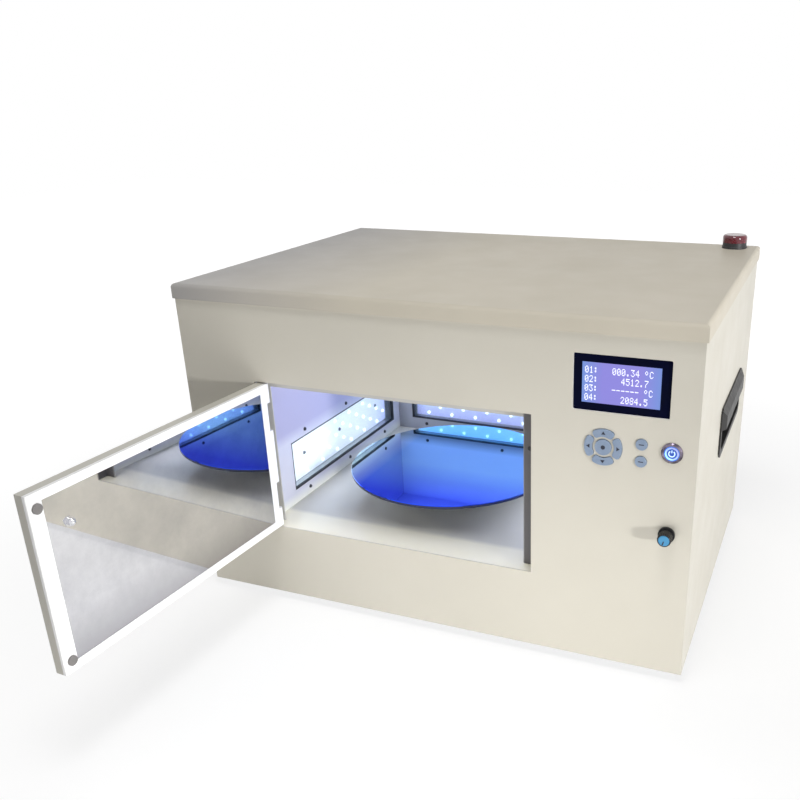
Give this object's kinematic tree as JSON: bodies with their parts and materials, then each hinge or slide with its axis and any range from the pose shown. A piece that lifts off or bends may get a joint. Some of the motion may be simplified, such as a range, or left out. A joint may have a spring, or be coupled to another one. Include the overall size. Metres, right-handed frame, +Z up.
{
  "type": "dental lab light curing unit",
  "caption": "Bench-top light curing oven: sheet-steel cabinet, side-hinged mirrored door, lit chamber with a motor-driven mirror turntable, display, keys, knob and beacon.",
  "frame": {"origin": "centre of the base pan's underside, 10 mm above the surface that the feet stand on", "axes": "+X to the right seen from the front, +Y from the front to the rear, +Z up"},
  "size_m": [0.572, 0.7077, 0.384],
  "materials": {
    "body_paint": "fine-textured cream powder coat",
    "white_paint": "smooth white powder coat",
    "liner_white": "smooth white paint",
    "floor_grey": "semi-gloss grey paint",
    "zinc_steel": "zinc-plated",
    "alloy": "plain extruded or turned",
    "bright_steel": "polished",
    "black_plastic": "moulded, fine grain",
    "black_rubber": "matt",
    "window_glass": "clear, lit from behind",
    "board_white": "white solder mask",
    "board_green": "green solder mask",
    "emitter_lens": "lit",
    "disc_mirror": "deep blue mirror",
    "door_mirror": "silvered glass",
    "magnet_grey": "nickel, worn flat grey",
    "display": "lit blue",
    "key_grey": "grey with a lilac cast",
    "blue_lit": "lit blue",
    "blue_plastic": "blue cap",
    "red_lens": "red translucent"
  },
  "bodies": {
    "cabinet": {"base_pan": "zinc_steel", "feet": "black_rubber", "front_panel": "body_paint", "left_side_panel": "body_paint", "right_side_panel": "body_paint", "rear_panel": "body_paint", "top_lid": "body_paint", "door_stop_frame": "white_paint", "chamber_floor": "floor_grey", "chamber_ceiling": "liner_white", "chamber_left_wall": "liner_white", "chamber_right_wall": "liner_white", "chamber_rear_wall": "liner_white", "window_gaskets": "black_rubber", "window_glasses": "window_glass", "led_boards": "board_white", "led_emitters": "emitter_lens", "heat_sinks": "alloy", "fan_frames": "black_plastic", "rear_fan_guard": "zinc_steel", "bearing_housing": "alloy", "gear_motor": "zinc_steel", "motor_bracket": "zinc_steel", "hinge_frame_leaves": "zinc_steel", "hinge_pins": "zinc_steel", "interlock_sensor": "black_plastic", "lcd_bezel": "black_plastic", "lcd_module": "display", "keypad_board": "board_green", "power_button_body": "bright_steel", "speed_potentiometer": "alloy", "beacon_base": "black_plastic", "beacon_lens": "red_lens", "carry_handles": "black_plastic", "mains_inlet": "black_plastic", "power_supply": "alloy", "control_board": "board_green"},
    "door": {"door_panel": "white_paint", "door_mirror": "door_mirror", "door_magnets": "magnet_grey", "door_knob": "bright_steel", "hinge_door_leaves": "zinc_steel"},
    "turntable": {"turntable_mirror": "disc_mirror", "turntable_carrier": "alloy", "turntable_shaft": "bright_steel", "shaft_coupling": "alloy", "motor_output_shaft": "bright_steel"},
    "left_fan": {"left_fan_rotor": "black_plastic"},
    "right_fan": {"right_fan_rotor": "black_plastic"},
    "rear_fan": {"rear_fan_rotor": "black_plastic"},
    "up_key": {"up_key": "key_grey"},
    "down_key": {"down_key": "key_grey"},
    "left_key": {"left_key": "key_grey"},
    "right_key": {"right_key": "key_grey"},
    "middle_key": {"middle_key": "key_grey"},
    "upper_small_key": {"upper_small_key": "key_grey"},
    "lower_small_key": {"lower_small_key": "key_grey"},
    "power_button": {"power_button_cap": "blue_lit"},
    "speed_control": {"speed_knob": "black_plastic", "speed_knob_cap": "blue_plastic"}
  },
  "joints": [
    {"name": "door_hinge", "type": "hinge", "parent": "cabinet", "child": "door", "pos_m": [-0.18593, -0.19937, 0.1723], "axis": [0, 0, 1], "range_deg": [-27, 92.8]},
    {"name": "turntable_spin", "type": "hinge", "parent": "cabinet", "child": "turntable", "pos_m": [-0.03495, -0.037, 0.116], "axis": [0, 0, 1], "continuous": true},
    {"name": "left_fan_spin", "type": "hinge", "parent": "cabinet", "child": "left_fan", "pos_m": [-0.2443, -0.01625, 0.133], "axis": [1, 0, 0], "continuous": true},
    {"name": "right_fan_spin", "type": "hinge", "parent": "cabinet", "child": "right_fan", "pos_m": [0.1744, -0.01625, 0.133], "axis": [1, 0, 0], "continuous": true},
    {"name": "rear_fan_spin", "type": "hinge", "parent": "cabinet", "child": "rear_fan", "pos_m": [-0.03495, 0.1782, 0.133], "axis": [0, 1, 0], "continuous": true},
    {"name": "up_key_press", "type": "slide", "parent": "cabinet", "child": "up_key", "axis": [0, 1, 0], "range_m": [0, 0.0008], "stiffness_N_per_m": 600},
    {"name": "down_key_press", "type": "slide", "parent": "cabinet", "child": "down_key", "axis": [0, 1, 0], "range_m": [0, 0.0008], "stiffness_N_per_m": 600},
    {"name": "left_key_press", "type": "slide", "parent": "cabinet", "child": "left_key", "axis": [0, 1, 0], "range_m": [0, 0.0008], "stiffness_N_per_m": 600},
    {"name": "right_key_press", "type": "slide", "parent": "cabinet", "child": "right_key", "axis": [0, 1, 0], "range_m": [0, 0.0008], "stiffness_N_per_m": 600},
    {"name": "middle_key_press", "type": "slide", "parent": "cabinet", "child": "middle_key", "axis": [0, 1, 0], "range_m": [0, 0.0008], "stiffness_N_per_m": 600},
    {"name": "upper_small_key_press", "type": "slide", "parent": "cabinet", "child": "upper_small_key", "axis": [0, 1, 0], "range_m": [0, 0.0008], "stiffness_N_per_m": 600},
    {"name": "lower_small_key_press", "type": "slide", "parent": "cabinet", "child": "lower_small_key", "axis": [0, 1, 0], "range_m": [0, 0.0008], "stiffness_N_per_m": 600},
    {"name": "power_button_press", "type": "slide", "parent": "cabinet", "child": "power_button", "axis": [0, 1, 0], "range_m": [0, 0.002], "stiffness_N_per_m": 800},
    {"name": "speed_knob_turn", "type": "hinge", "parent": "cabinet", "child": "speed_control", "pos_m": [0.2567, -0.2075, 0.1543], "axis": [0, 1, 0], "range_deg": [0, 300]}
  ]
}
